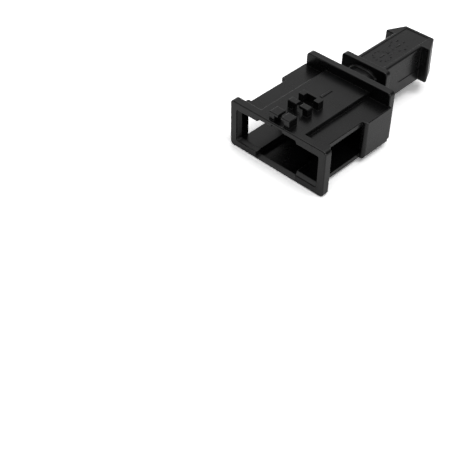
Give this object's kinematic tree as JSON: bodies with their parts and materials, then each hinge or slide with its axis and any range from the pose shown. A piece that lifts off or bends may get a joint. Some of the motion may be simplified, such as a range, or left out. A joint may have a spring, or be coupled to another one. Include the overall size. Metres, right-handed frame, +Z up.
{
  "type": "connector housing",
  "caption": "Black moulded plug housing: wide open mating frame with side windows, clip lugs on top, round-shouldered neck between flanges and a square cable tube with a barbed end.",
  "frame": {"origin": "middle of the mating face's lower edge, on the plane the part rests on", "axes": "+Y from the mating face to the cable end, +X across the part, +Z up"},
  "size_m": [0.03, 0.0557, 0.0157],
  "materials": {
    "housing": "fine-grained satin black moulding"
  },
  "bodies": {
    "root": {"housing": "housing"}
  },
  "joints": []
}
